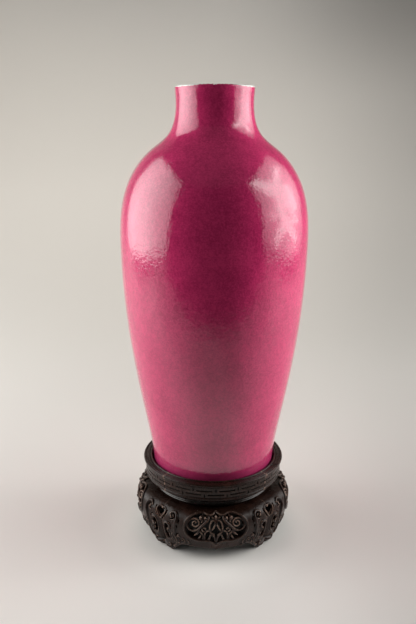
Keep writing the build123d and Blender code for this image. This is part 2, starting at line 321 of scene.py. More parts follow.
class Finish:
    """One material and its nodes."""

    def __init__(self, name):
        self.material = bpy.data.materials.new(name)
        self.material.use_nodes = True
        self.tree = self.material.node_tree
        self.shader = self.tree.nodes["Principled BSDF"]

    def node(self, kind, settings=None, values=None, out=0):
        """Adds a node: its settings first, then the values or links of its sockets."""
        node = self.tree.nodes.new(kind)
        for key, value in (settings or {}).items():
            setattr(node, key, value)
        for key, value in (values or {}).items():
            self.feed(node.inputs[key], value)
        return Wire(self, node.outputs[out])

    def feed(self, socket, value):
        if isinstance(value, Wire):
            self.tree.links.new(value.socket, socket)
        elif socket.type == "RGBA" and len(value) == 3:
            socket.default_value = (*value, 1)
        else:
            socket.default_value = value

    def position(self):
        return self.node("ShaderNodeTexCoord", out="Object")

    def part(self, vector, axis):
        return self.node("ShaderNodeSeparateXYZ", None, {"Vector": vector}, out=axis)

    def stretched(self, scale):
        return self.node("ShaderNodeMapping", None, {"Vector": self.position(), "Scale": scale})

    def grain(self, vector, scale, detail=2.0, rough=0.5, warp=0.0):
        return self.node("ShaderNodeTexNoise", None, {
            "Vector": vector, "Scale": scale, "Detail": detail, "Roughness": rough, "Distortion": warp})

    def step(self, value, low, high):
        return self.node("ShaderNodeMapRange", {"interpolation_type": "SMOOTHSTEP"}, {
            "Value": value, "From Min": low, "From Max": high})

    def blend(self, amount, first, second):
        return self.node("ShaderNodeMix", {"data_type": "RGBA"}, {0: amount, 6: first, 7: second}, out=2)

    def stored(self, name):
        return self.node("ShaderNodeAttribute", {"attribute_name": name}, out="Fac")

    def bump(self, height, distance, under=None):
        values = {"Height": height, "Distance": distance, "Strength": 1.0}
        if under is not None:
            values["Normal"] = under
        return self.node("ShaderNodeBump", None, values)

    def connect(self, **sockets):
        for key, value in sockets.items():
            self.feed(self.shader.inputs[key.replace("_", " ")], value)
        return self.material


def enamel_finish():
    """Ruby enamel over white porcelain, from an attribute that runs along the outline."""
    sizes = bpy.context.scene.vase_settings
    finish = Finish("ruby enamel")
    spot = finish.position()
    along = finish.stored("along")
    wobble = finish.grain(spot, 260, 3) - 0.5
    nibble = finish.grain(spot, 600, 1) - 0.5
    band = sizes.lip_band
    from_crest = along + wobble * (0.5 * MM) + nibble * (1.2 * MM)
    over = finish.step(from_crest, band - 0.15 * MM, band + 0.15 * MM)
    foot = finish.stored("foot")
    over = over * (1 - finish.step(foot + wobble * (0.8 * MM), -0.2 * MM, 0.2 * MM))
    speckle = finish.grain(spot, 620, 2, 0.7)
    cloud = finish.grain(spot, 36, 4, 0.6)
    mottle = finish.grain(spot, 220, 3, 0.65)
    depth = finish.step(speckle * 0.50 + mottle * 0.30 + cloud * 0.30, 0.40, 0.70)
    ruby = finish.blend(depth, sizes.enamel, sizes.enamel_deep)
    # near the foot: partly thicker enamel, partly a painted reflection
    ruby = finish.blend(finish.step(foot, -34 * MM, -8 * MM) * 0.8, ruby, sizes.enamel_foot_and_reflection)
    base = finish.blend(over, sizes.glaze, ruby)
    slow = finish.grain(spot, 70, 1)
    peel = finish.grain(spot, 370, 2, 0.6)
    fine = finish.grain(spot, 1000, 2, 0.6)
    normal = finish.bump(slow, 0.00025)
    normal = finish.bump(peel, 0.00016, normal)
    normal = finish.bump(fine, 0.000022, normal)
    rough = sizes.gloss + (speckle - 0.5) * 0.03 + (1 - over) * 0.03
    return finish.connect(Base_Color=base, Roughness=rough, IOR=1.8, Normal=normal)


def wood_finish(name, base, red, worn, polish, shine):
    """Stained hardwood with a fine long grain; raised edges are lighter, partly rubbed and partly a painted
    highlight, and hollows and deep recesses are darkened as painted shade.
    """
    finish = Finish(name)
    spot = finish.position()
    long = finish.stretched((1, 1, 0.12))
    fibre = finish.grain(long, 900, 3, 0.6, 0.3)
    figure = finish.grain(long, 110, 4, 0.6, 0.6)
    patch = finish.grain(spot, 42, 3, 0.6)
    pores = finish.step(finish.grain(long, 1500, 2, 0.7), 0.60, 0.72)
    warm = finish.step(patch * 0.75 + figure * 0.35, 0.54, 0.70)
    shade = finish.blend(warm * 0.8, base, red)
    shade = finish.blend(finish.step(fibre, 0.35, 0.75) * 0.3, shade, red)
    rough = polish + (figure - 0.5) * 0.15 + pores * 0.15
    # worn is the colour of rubbed edges, which also carries a painted highlight
    if worn is not None:
        curvature = finish.stored("curvature")
        # deep marks recesses and the floors of openings, which are painted dark as shade
        deep = finish.stored("deep")
        # raised edges are lighter: partly rubbing of the wood, partly a painted highlight
        rubbed_edge_and_highlight = finish.step(curvature + (finish.grain(spot, 700, 3, 0.6) - 0.5) * 0.3, 0.46, 0.92)
        shade = finish.blend(rubbed_edge_and_highlight * 0.9, shade, worn)
        # painted shade: hollows, where the stored value is below zero, are darkened
        painted_hollow_shade = finish.step(0.0 - curvature, 0.05, 0.40)
        shade = finish.blend(painted_hollow_shade * 0.85, shade, (0.004, 0.002, 0.0015))
        # painted shade: deep recesses are darkened
        shade = finish.blend(deep, shade, (0.005, 0.003, 0.0025))
        rough = rough + deep * 0.35 + painted_hollow_shade * 0.15 - rubbed_edge_and_highlight * 0.17
    shade = finish.blend(pores * 0.4, shade, (0.006, 0.004, 0.003))
    normal = finish.bump(fibre, 0.00003)
    normal = finish.bump(finish.grain(spot, 260, 3, 0.55), 0.00012, normal)
    return finish.connect(Base_Color=shade, Roughness=rough, IOR=1.5, Specular_IOR_Level=shine, Normal=normal)


def paper_finish(name, shade, fades):
    """Pale paper with painted shade: darker to the right, darker at the top right and in a band of floor
    behind the front line, painted dark under the stand and painted lighter in a ring round it; the part that
    only lights the object fades to the front, also painted shade.
    """
    finish = Finish(name)
    spot = finish.position()
    across, deep, up = (finish.part(spot, axis) for axis in "XYZ")
    rightwards = across / (deep + 0.7)
    # painted shade: the paper is darker to the right
    painted_light_and_shade = 1 - finish.step(rightwards, 0.10, 0.36) * 0.22
    # painted shade: the paper is darker towards the top right
    painted_light_and_shade = painted_light_and_shade * (1 - finish.step(up, 0.45, 0.85) * finish.step(rightwards, 0.02, 0.28) * 0.35)
    # painted shade: a band of floor behind the front line, below the wall, is darker
    painted_light_and_shade = painted_light_and_shade * (1 - finish.step(deep, -0.12, 0.15) * (1 - finish.step(up, 0.0, 0.25)) * 0.12)
    radius = finish.node("ShaderNodeVectorMath", {"operation": "LENGTH"}, {0: spot}, out="Value")
    # painted light: a ring of floor round the stand, where its shadow falls, is painted lighter
    near = finish.step(radius, 0.062, 0.080) * (1 - finish.step(radius, 0.090, 0.130))
    # painted shade: the floor under the stand is painted nearly black
    painted_light_and_shade = painted_light_and_shade * (0.03 + finish.step(radius, 0.045, 0.062) * 0.97 + near * 0.13)
    if fades:
        # painted shade: the paper that only lights the object darkens towards the front and ends before it
        painted_light_and_shade = painted_light_and_shade * (0.64 + finish.step(deep, -0.36, -0.17) * 0.36) * finish.step(deep, -0.62, -0.44)
    shade = finish.node("ShaderNodeVectorMath", {"operation": "SCALE"}, {0: shade, "Scale": painted_light_and_shade})
    normal = finish.bump(finish.grain(spot, 900, 3), 0.00002)
    return finish.connect(Base_Color=shade, Roughness=0.85, Normal=normal)


# --- vase
ROUND_STEPS = 192
LIP_THICKNESS = 4.2 * MM
FOOT_CHAMFER = 0.8 * MM
FRONT_AZIMUTH = 1.0


def vase_outlines():
    """Parts of the closed section, in metres above the foot: under it, outside, rim, inside and floor."""
    sizes = bpy.context.scene.vase_settings
    high, belly, foot, neck = sizes.height, sizes.belly_radius, sizes.foot_radius, sizes.neck_radius
    lip, chamfer = LIP_THICKNESS, FOOT_CHAMFER
    outside = smooth_line([
        (foot, 0),
        (foot + 0.5 * MM, 14 * MM),
        (foot + 7.2 * MM, 57 * MM),
        (belly - 7.4 * MM, 137 * MM),
        (belly, 231 * MM),
        (belly - 6 * MM, high - 92.5 * MM),
        (belly - 29.7 * MM, high - 57 * MM),
        (neck + 6.8 * MM, high - 42 * MM),
        (neck, high - 14 * MM),
        (neck + 0.8 * MM, high - lip / 2),
    ], 2.2 * MM, start=(0, 1), end=(0.12, 1))
    well = foot - 7.5 * MM
    lip_centre = (neck + 0.8 * MM - lip / 2, high - lip / 2)
    rim = arc(lip_centre, lip / 2, 0, 180, 14)[1:]
    inside = beside(outside, sizes.wall)
    inside = inside[(inside[:, 1] > 14 * MM) & (inside[:, 1] < high - 8 * MM)][::-1]
    under = [
        (0, 4 * MM), (well * 0.6, 4.4 * MM), (well - 1.2 * MM, 5 * MM), (well - 0.2 * MM, 4.4 * MM),
        (well, 3.4 * MM), (well, chamfer), (well + chamfer * 0.4, chamfer * 0.3), (well + chamfer, 0),
        (foot - chamfer, 0), (foot - chamfer * 0.4, chamfer * 0.3),
    ]
    floor = [(inside[-1][0] - 2.5 * MM, 10 * MM), (inside[-1][0] - 8 * MM, 8.2 * MM), (0, 8 * MM)]
    outside = outside[outside[:, 1] >= chamfer]
    return under, outside, rim, inside, floor


class VASE_OT_body(bpy.types.Operator):
    """Spins the vase and finishes it in ruby enamel over white porcelain."""
    bl_idname = "vase.body"
    bl_label = "Enamelled vase"

    def execute(self, context):
        sizes = context.scene.vase_settings
        under, outside, rim, inside, floor = vase_outlines()
        section = np.vstack([under, outside, rim, inside, floor])
        section[:, 1] += VASE_LOW[2]
        vase = lathe("enamelled_vase", section, ROUND_STEPS)
        spots = coordinates(vase.data)
        radius = np.hypot(spots[:, 0], spots[:, 1])
        length_along = distances(section)
        lip_place = length_along[len(under) + len(outside) + len(rim) // 2]
        nearest = np.array([
            np.argmin((section[:, 0] - r) ** 2 + (section[:, 1] - z) ** 2)
            for r, z in zip(radius, spots[:, 2])])
        azimuth = np.degrees(np.arctan2(spots[:, 0], -spots[:, 1])) - FRONT_AZIMUTH
        high_at_front = np.exp(-(azimuth / 32.0) ** 4) * 1.8 * MM
        give(vase.data, "foot", VASE_LOW[2] + 1.5 * MM - spots[:, 2])
        near_lip = np.clip(1 - (VASE_HIGH[2] - spots[:, 2]) / (1.6 * MM), 0, 1)
        chip = np.array([max(0.0, noise.noise(Vector(spot) * 900)) for spot in spots]) * near_lip
        worn = chip * (np.exp(-(azimuth / 5.0) ** 2) * 1.3 + 0.12) * MM
        spots[:, 2] -= worn
        from_crest = lip_place - length_along[nearest]
        give(vase.data, "along", np.minimum(from_crest + high_at_front - worn * 6, 1))
        place(vase.data, spots)
        vase.data.materials.append(enamel_finish())
        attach(vase, "vase")
        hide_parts("vase")
        return {"FINISHED"}


# --- collar and waist
BAND_LOW, BAND_HIGH = 5.1, 15.1
BAND_RADII = (69.5, 70.3)
QUARTER = 89.92
NOISE_SEED = 7


def collar_section():
    """Section of the collar in millimetres above its foot: socket, top mouldings, fret band and foot."""
    bead = arc((64.4, 19.2), 1.1, 180, 0, 8)
    outer = arc((70.6, 18.2), 1.4, 115, -75, 10)
    return np.vstack([
        [(65.4, 0), (61, 0), (56.3, 0), (56.3, 5), (63.3, 5), (63.3, 11.8)],
        bead,
        [(65.7, 18.8), (66.0, 19.3), (66.4, 19.55), (68.8, 19.4), (69.3, 19.15), (69.6, 18.7)],
        outer,
        [(70.75, 16.55), (70.95, 16.2), (70.9, 15.7), (70.35, 15.35), (BAND_RADII[1], BAND_HIGH)],
        [(70.12, 12.9), (70.0, 11.4), (69.8, 8.8), (69.68, 7.3), (BAND_RADII[0], BAND_LOW)],
        [(69.3, 4.8), (69.8, 4.4), (70.05, 3.7), (69.8, 3.0), (69.1, 2.6), (69.25, 2.3), (69.2, 1.7)],
        [(67.5, 0.8), (65.4, 0)],
    ])


class STAND_OT_collar(bpy.types.Operator):
    """Turns a quarter of the collar, cuts the fret into it and copies it round."""
    bl_idname = "stand.collar"
    bl_label = "Collar with its fret"

    def execute(self, context):
        sizes = context.scene.stand_settings
        section = (collar_section() + (0, COLLAR_FOOT)) * MM
        segment = lathe("collar_segment", section, 180, -QUARTER / 2, QUARTER)
        middles = numbers(segment.data.polygons, "center")
        azimuth = np.degrees(np.arctan2(middles[:, 0], -middles[:, 1]))
        height = middles[:, 2] / MM - COLLAR_FOOT
        outside = np.hypot(middles[:, 0], middles[:, 1]) > 69 * MM
        period = 360 / sizes.fret_count
        chosen = np.zeros(len(middles), bool)
        for shift, low, high, slit_low, slit_high in (
                (0, 11.4, 12.9, 11.4, BAND_HIGH), (period / 2, 7.3, 8.8, BAND_LOW, 8.8)):
            turn = np.abs((azimuth - shift + period / 2) % period - period / 2)
            slot = (turn > 2.5) & (height > low) & (height < high)
            slit = (turn < 0.5) & (height > slit_low) & (height < slit_high)
            chosen |= outside & (slot | slit)
        select_faces(segment, chosen)
        bpy.ops.mesh.extrude_region_shrink_fatten(TRANSFORM_OT_shrink_fatten={"value": -sizes.fret_depth})
        bpy.ops.mesh.select_all(action="DESELECT")
        bpy.ops.mesh.select_mode(type="EDGE")
        bpy.ops.mesh.select_non_manifold(use_boundary=True, use_wire=False, use_multi_face=False)
        bpy.ops.mesh.edge_face_add()
        bpy.ops.object.mode_set(mode="OBJECT")
        modify(
            segment, "BEVEL", width=0.12 * MM, segments=2, limit_method="ANGLE",
            angle_limit=math.radians(28))
        only(segment)
        bpy.ops.object.shade_smooth()
        spots = coordinates(segment.data)
        noise.seed_set(NOISE_SEED)
        for i, spot in enumerate(spots):
            shake = noise.noise_vector(Vector(spot) * 220) * (0.10 * MM)
            spots[i] += shake[:]
        place(segment.data, spots)
        radius = np.hypot(spots[:, 0], spots[:, 1])
        height = spots[:, 2] / MM - COLLAR_FOOT
        wall = np.interp(height, (BAND_LOW, BAND_HIGH), BAND_RADII) * MM
        band = (height > BAND_LOW + 0.1) & (height < BAND_HIGH - 0.1) & (radius > 67 * MM)
        # painted shade: the fret's cut floors are stored as deep and darkened by the wood finish
        give(segment.data, "deep", np.clip((wall - radius - 0.25 * MM) / (0.4 * MM), 0, 1) * band * 0.9)
        store_curvature(segment)
        for quarter, side in enumerate(SIDES):
            part = copied(segment, "carved_collar_" + side, 90 * quarter)
            part.data.materials.append(bpy.data.materials["carved hardwood"])
            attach(part, "stand")
            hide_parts("collar_" + side)
        bpy.data.objects.remove(segment)
        return {"FINISHED"}


class STAND_OT_waist(bpy.types.Operator):
    """Turns the waist moulding with its two beads."""
    bl_idname = "stand.waist"
    bl_label = "Waist moulding"

    def execute(self, context):
        foot_radius, bore, bead = 57.5, 48.0, 1.8
        slope = (RING_RADIUS - foot_radius) / (RING_TOP - RING_FOOT)

        def at(height, out=0.0):
            return (foot_radius + slope * height + out, height)

        outline = [(57.35, 0), (foot_radius, 0.8), at(1.4)]
        for low in (3.1, 6.3):
            outline += [at(low - 0.4, -0.35)]
            outline += [at(low + bead * t / 8, bead / 2 * math.sin(math.pi * t / 8)) for t in range(9)]
            outline += [at(low + bead + 0.4, -0.35)]
        outline += [at(9.4, -0.2), at(11.0, 0.1), at(11.95), (64.9, 12.0)]
        outline += [(bore, 12.0), (bore, 0), (57.35, 0)]
        outline = np.array(outline) + (0, RING_FOOT)
        ring = lathe("waist_moulding", outline * MM, ROUND_STEPS)
        store_curvature(ring)
        ring.data.materials.append(bpy.data.materials["polished hardwood"])
        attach(ring, "stand")
        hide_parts("waist_ring")
        return {"FINISHED"}


def store_curvature(piece):
    """Stores how far each vertex stands out from the vertices round it: edges up to 1, hollows down to -1."""
    mesh = piece.data
    edges = numbers(mesh.edges, "vertices", 2, int)
    spots = coordinates(mesh)
    normals = numbers(mesh.vertices, "normal")
    across = spots[edges[:, 1]] - spots[edges[:, 0]]
    size = np.maximum(np.linalg.norm(across, axis=1), 1e-9)
    curve = np.einsum("ij,ij->i", across, normals[edges[:, 1]] - normals[edges[:, 0]]) / size**2
    total = np.zeros(len(spots))
    weight = np.full(len(spots), 1e-12)
    for side in (0, 1):
        np.add.at(total, edges[:, side], curve * size)
        np.add.at(weight, edges[:, side], size)
    value = total / weight
    for _ in range(3):
        spread = np.zeros(len(spots))
        count = np.zeros(len(spots))
        for side in (0, 1):
            np.add.at(spread, edges[:, side], value[edges[:, 1 - side]])
            np.add.at(count, edges[:, side], 1)
        value = 0.5 * value + 0.5 * spread / np.maximum(count, 1)
    give(mesh, "curvature", np.clip(value * MM * 1.3, -1, 1))


# --- carved skirt
HALF_BOARD = 64.0
RIM = [
    (0, 23.2), (2.2, 19.9), (5.6, 17.9), (9.2, 18.2), (13.4, 19.8), (18.6, 19.5), (23.4, 16.9), (27.9, 12.9),
    (30.7, 8.4), (31.5, 3.3), (30.6, -1.8), (27.8, -5.6), (23.6, -8.2), (18, -9.6), (12.6, -9.9),
    (8.2, -9.4), (4.6, -10.9), (1.9, -12.9), (0, -14.6)]
STRANDS = {
    "great scroll": (0, [
        (7.6, 17.2, 1.2), (7.8, 14.2, 1.4), (9.4, 11.4, 1.5), (11.8, 9, 1.5), (14.4, 6.5, 1.35),
        (16.8, 3.7, 1.25), (19.6, 1.4, 1.25), (23.2, 0.5, 1.3), (26.9, 1.9, 1.25), (29, 5.3, 1.15),
        (28.4, 9.3, 1.1), (25.2, 12.3, 1.1), (21, 13.1, 1.1), (17.8, 11.4, 1.05), (16.9, 8.5, 1),
        (18.4, 6, 0.95), (21.2, 5.4, 0.95), (23.5, 7.2, 0.9), (22.9, 9.7, 0.85), (20.7, 10.1, 0.8),
        (20.1, 8.7, 0.85)]),
    "first leaf": (0.5, [(11.4, 10, 0.9), (10.8, 12.6, 1.5), (10.9, 14.6, 1.8), (9.7, 16.2, 1)]),
    "second leaf": (0.3, [
        (14.6, 9.6, 0.8), (14.4, 12.2, 1.4), (15.6, 14.4, 2), (14.4, 17, 1.3), (13.6, 19.2, 1.2)]),
    "lyre": (0.2, [
        (0.3, -13.4, 0.9), (0.9, -9.4, 1.1), (1.5, -5.6, 1.3), (3, -2, 1.6), (5, 0.2, 1.15),
        (6.1, 3.2, 1), (6.3, 6.6, 1), (5.5, 9.9, 1), (3.7, 12.1, 1.1), (1.5, 12.2, 1.1),
        (0, 10, 1.1), (-1.5, 7.2, 1.05), (-2.7, 4.6, 1), (-4, 2.9, 0.9), (-5, 1.6, 0.7)]),
    "lyre foot": (0.6, [
        (3.1, -2, 1.2), (5.3, -3.5, 1), (6.2, -6.2, 1), (7.3, -8.4, 1.4), (8.3, -10, 1.2)]),
    "oval side": (0.5, [
        (6.1, 4.2, 0.8), (6.9, 2.2, 1), (9.4, 0.9, 1), (10.9, -1.8, 1), (11.4, -5, 1),
        (11.2, -7.8, 1.1), (10.8, -10.2, 1.1)]),
    "curl": (0.4, [
        (9.4, 0.8, 0.8), (12.4, 0.9, 0.95), (13.7, 2.9, 0.95), (12.3, 4.6, 0.9), (10.5, 4, 0.85),
        (10.7, 2.7, 0.8)]),
    "loose leaf": (0.5, [
        (16.8, 3.4, 1.1), (17.2, 0.3, 1.2), (18.9, -2.6, 1.35), (21.1, -4.6, 1), (22.6, -5.8, 0.5)]),
    "brace": (0.7, [
        (17, 2.2, 0.9), (15, -0.9, 1.1), (13.3, -3.2, 1), (12.8, -5.8, 1), (13.4, -9.6, 1.2)]),
    "sprig": (0.8, [(17.4, -9.8, 1.7), (16.6, -7.4, 1.35), (15.6, -5.2, 1), (15.9, -3.6, 0.6)]),
    "brow": (0.4, [(0, 14.6, 0.9), (2.9, 15.4, 0.9), (5.8, 17.6, 1.1)]),
    "bud": (0.1, [(0, 11, 0.9), (0, 14.4, 1.3), (0, 17, 1.5), (0, 18.9, 0.7)]),
}
RELIEF = {
    "leg crook": [
        (49.6, 11, 1), (47.6, 13.2, 1.3), (44.4, 13.9, 1.5), (41.7, 12, 1.6), (40.8, 8.6, 1.7),
        (41.4, 4.6, 1.9), (42.4, 0.6, 1.7), (42.6, -4, 1.5), (43.4, -8.4, 1.3), (42.4, -12.4, 1.2),
        (41.4, -15.6, 1.1), (41.6, -18.8, 1.1), (43.8, -22.6, 1.2), (47, -26, 1.2)],
    "crook boss": [(46.9, 9.7, 1.7), (47.7, 9.1, 1.8)],
    "crook teeth": [(40.4, 6, 1.4), (38.9, 4.2, 0.9), (39.6, 2.4, 0.5)],
    "heart rim": [
        (57.2, 13, 0.7), (56.4, 11.2, 0.85), (57.1, 8.6, 0.9), (59.2, 5.2, 0.9), (61.6, 2.4, 0.9),
        (63.8, 0.6, 0.9)],
    "heart crown": [(57.2, 13, 0.7), (59, 14.2, 0.7), (61.2, 13.8, 0.7), (63.6, 12.4, 0.7)],
    "slot rim": [
        (49.4, -1.8, 0.7), (50.4, 0, 0.8), (52.6, 0.7, 0.9), (55.2, 0.2, 0.9), (57.1, -2, 0.85),
        (57.7, -5.6, 0.8), (57.8, -10, 0.8), (57.3, -14.4, 0.8), (55.8, -17.6, 0.85), (53.2, -19.4, 0.85),
        (50, -19.6, 0.85), (47.4, -18.2, 0.75)],
    "slot scroll": [
        (49.4, -1.8, 0.7), (50, -4.6, 0.85), (52, -6.6, 1.1), (51.6, -8.6, 0.95), (49.9, -10.2, 0.8),
        (49.6, -12.2, 0.8), (50.2, -14, 0.8), (48.6, -15.8, 0.85), (46.8, -15.2, 0.8), (46.6, -13.4, 0.7)],
    "inner leaf": [
        (45.6, -7.6, 0.7), (46.9, -10.4, 0.9), (46.4, -13.8, 0.8), (44.6, -16.8, 0.8), (44.4, -20, 0.8)],
    "apron scroll": [
        (39.6, -18, 1.2), (36.2, -18.4, 1.1), (32.9, -16.8, 1), (31.8, -13.7, 0.95), (33.3, -11.3, 0.9),
        (35.6, -11.7, 0.8), (35.8, -13.7, 0.8), (34.4, -14.4, 0.7)],
    "apron leaf": [
        (32.4, -16.8, 0.9), (29.6, -17.4, 1), (27.6, -15.6, 1), (28, -13, 0.9), (29.7, -12.6, 0.7)],
    "apron tip": [(30, -17.4, 0.8), (26.8, -18.3, 0.9), (23.4, -17.9, 0.5)],
    "apron bud": [(36.6, -11.6, 0.7), (38.4, -9.8, 1), (40.4, -11, 0.9), (40, -13.2, 0.7)],
    "toe roll": [
        (64, -26.6, 1.9), (60, -27.6, 2.1), (56, -28.4, 2.2), (52.8, -28.4, 2), (51, -26.6, 1.6),
        (52, -24.6, 1.2), (54, -24.8, 1), (54.2, -26, 0.7)],
}
GROOVES = [
    [
        (46.8, 12, 0.4), (44.9, 11.6, 0.7), (43.9, 10, 0.8), (44.6, 8.2, 0.8), (46.4, 6.9, 0.7),
        (48.8, 6.7, 0.35)],
    [(54.4, 13.2, 0.3), (54.6, 11, 0.6), (55.6, 8, 0.65), (57.8, 4.4, 0.6), (60.4, 1.4, 0.35)],
    [(38.2, 9.8, 0.3), (38.2, 8, 0.6), (38, 6.2, 0.3)],
    [(40, 3.4, 0.3), (39.9, 1.4, 0.55), (40.2, -1, 0.3)],
    [(52, 2.5, 0.3), (49.4, 2, 0.5), (48, 0.2, 0.6), (47.8, -3, 0.5), (48.6, -6.6, 0.3)],
    [(37.6, -7.6, 0.3), (39.6, -7.4, 0.6), (41.2, -9.2, 0.6), (41, -11, 0.3)],
    [(42.6, -19.6, 0.4), (43.2, -20.6, 0.5), (44.4, -21.2, 0.3)],
    [(46.2, -23.4, 0.3), (47.4, -24.4, 0.6), (49.2, -25, 0.35)],
    [(44.2, -10, 0.3), (45, -12, 0.45), (44.4, -14.4, 0.3)],
    [(34.8, -13.4, 0.3), (34, -12.6, 0.45), (33.4, -13.8, 0.45), (34.2, -15.6, 0.3)],
    [(38.6, -12.6, 0.3), (38.2, -14.6, 0.6), (37, -16.2, 0.35)],
]
SLOT = [
    (53.8, -1.1), (55.5, -2), (56.4, -4.6), (56.6, -9), (56.3, -13.2), (55.2, -16), (53, -17.8),
    (50.6, -18), (49, -17.2), (50.6, -16.2), (52, -14.8), (52.2, -13), (51.2, -11.4), (51.5, -10.2),
    (53.2, -9.6),
    (54.2, -8.2), (53.8, -6.4), (52.4, -5.2), (51.5, -3.8), (51.7, -2.2), (52.6, -1.3)]
HEART = [
    (64, 3.4), (61.6, 5.6), (59.4, 8.4), (58, 10.6), (58.2, 12.2), (59.8, 12.9), (61.6, 12), (64, 10.6)]
ARCH = [
    (0, -21.8), (1.3, -20.3), (3.2, -19.8), (12, -19.6), (24, -19.5), (33, -19.6), (36.8, -20.7),
    (40.4, -23.4), (44.2, -26.6), (47.8, -29.6), (50.4, -31.6), (51.4, -33.4)]
LOBE = [(39, 46.65), (50, 46.7), (58, 47.7), (66.8, 42.9), (69, 32), (65.8, 15.4), (62, 0)]
LOBE_INSIDE = [(39, 38.5), (50, 38.5), (53, 38.3), (55, 35.5), (55, 29), (55, 15), (55, 0)]
BOARD_DEPTH = 9.0
GROOVE_DEPTH = 3.5
EDGE_ROUNDING = 0.35
MITRE_SETBACK = 0.05 * MM


def drawn(name, lines, closed, depth, **settings):
    """A flat curve through lines of points, each with its own width if it has one, as a mesh at a depth."""
    bpy.ops.object.select_all(action="DESELECT")
    bpy.ops.curve.primitive_nurbs_path_add(location=(0, 0, 0))
    curve = bpy.context.object.data
    curve.splines.clear()
    curve.dimensions = "2D"
    for line in lines:
        spline = curve.splines.new("POLY")
        spline.points.add(len(line) - 1)
        for point, (u, w, *width) in zip(spline.points, line):
            point.co = (u, w, 0, 1)
            point.radius = width[0] if width else 1.0
        spline.use_cyclic_u = closed
    for key, value in settings.items():
        setattr(curve, key, value)
    only(bpy.context.object)
    bpy.ops.object.convert(target="MESH")
    piece = named(bpy.context.object, name)
    piece.data.transform(Matrix.Translation((0, 0, -depth)))
    return piece


def slab(name, loops, front, back):
    """A slab with holes, from closed outlines in its plane, with rounded edges."""
    return drawn(
        name, loops, True, (front + back) / 2, fill_mode="BOTH", extrude=(back - front) / 2 - EDGE_ROUNDING,
        bevel_depth=EDGE_ROUNDING, bevel_resolution=1, offset=-EDGE_ROUNDING)


def strand(name, points, middle, half_depth):
    """One carved strand: a smooth line with its own width at each point, swept as a rounded bar."""
    return drawn(
        name, [smooth_line(points, 0.5)], False, middle, fill_mode="NONE", bevel_depth=1.0,
        bevel_resolution=3, extrude=max(half_depth - 1.0, 0), use_fill_caps=True)


def lobe_section():
    """Outside and inside of a board's section, both by the distance along the outside from the belly line."""
    outer = smooth_line(LOBE, 0.25, start=(1, 0), end=(-0.25, -0.97))
    along = distances(outer)
    belly = along[np.argmin(abs(outer[:, 1] - LOBE[4][1]) + 100 * (outer[:, 0] < 60))]
    up = belly - along
    knots = [up[np.argmin(np.hypot(*(outer - spot).T))] for spot in LOBE]
    return up, outer, knots


def wrapped(spots):
    """Takes points of the flat board, in millimetres, onto the lobe: across, up, and depth inwards."""
    up, outer, knots = lobe_section()
    shift = bpy.context.scene.stand_settings.lobe_shift / MM
    across, height, depth = spots[:, 0], spots[:, 1], -spots[:, 2]
    normal = normals_of(outer)
    flip = -1 if normal[len(normal) // 2, 0] < 0 else 1

    def at(values):
        return np.interp(-height, -up, values)

    radius, level = at(outer[:, 0]), at(outer[:, 1])
    beyond = np.minimum(height - up[-1], 0)
    level = level + beyond
    out_r, out_z = at(flip * normal[:, 0]), at(flip * normal[:, 1])
    inside = np.array(LOBE_INSIDE)
    order = np.argsort(knots)
    in_r = np.interp(height, np.array(knots)[order], inside[order, 0])
    in_z = np.interp(height, np.array(knots)[order], inside[order, 1])
    share = np.clip(depth, 0, None) / 14.0
    proud = np.clip(-depth, 0, None)
    r = radius + (in_r - radius) * share + out_r * proud
    z = level + (in_z - level) * share + out_z * proud
    valley = np.clip((np.abs(across) - 55.5) / 6.5, 0, 1.2) ** 1.6
    below = 1 / (1 + np.exp((height - 1.0) / 2.0))
    r = r - 1.7 * valley * below * np.clip(1 - depth / 8, 0, 1)
    turn = across / LOBE[4][0]
    sideways, outwards = r * np.sin(turn), -shift - r * np.cos(turn)
    return np.column_stack([sideways, outwards, z]) * MM + (0, 0, SKIRT_FOOT)


def mirrored(points):
    return [(-p[0],) + tuple(p[1:]) for p in points]


def board_loops():
    """Edge of the flat board, its holes, and the grooves cut into its face."""
    half_arch = smooth_line(ARCH, 1.0)
    heart = smooth_line(HEART, 0.7)
    right = np.vstack([
        half_arch, [(HALF_BOARD, -33.4), (HALF_BOARD, HEART[0][1] - 0.3)], heart,
        [(HALF_BOARD, HEART[-1][1] + 0.3), (HALF_BOARD, 40.5)]])
    edge = np.vstack([right, (right * (-1, 1))[::-1]])
    rim = smooth_line(RIM, 0.8)
    hole = beside(rim, -1.2)
    hole[0, 0] = hole[-1, 0] = 0
    hole = hole[hole[:, 0] >= 0]
    cartouche = np.vstack([hole, (hole * (-1, 1))[::-1][1:-1]])
    slot = smooth_line(SLOT + SLOT[:1], 0.6)[:-1][::-1]
    grooves = []
    for groove in GROOVES:
        middle = smooth_line(groove, 0.5)
        groove = np.vstack([beside(middle, middle[:, 2]), beside(middle, -middle[:, 2])[::-1]])
        grooves += [groove, (groove * (-1, 1))[::-1]]
    return [edge, cartouche, slot, (slot * (-1, 1))[::-1]], grooves


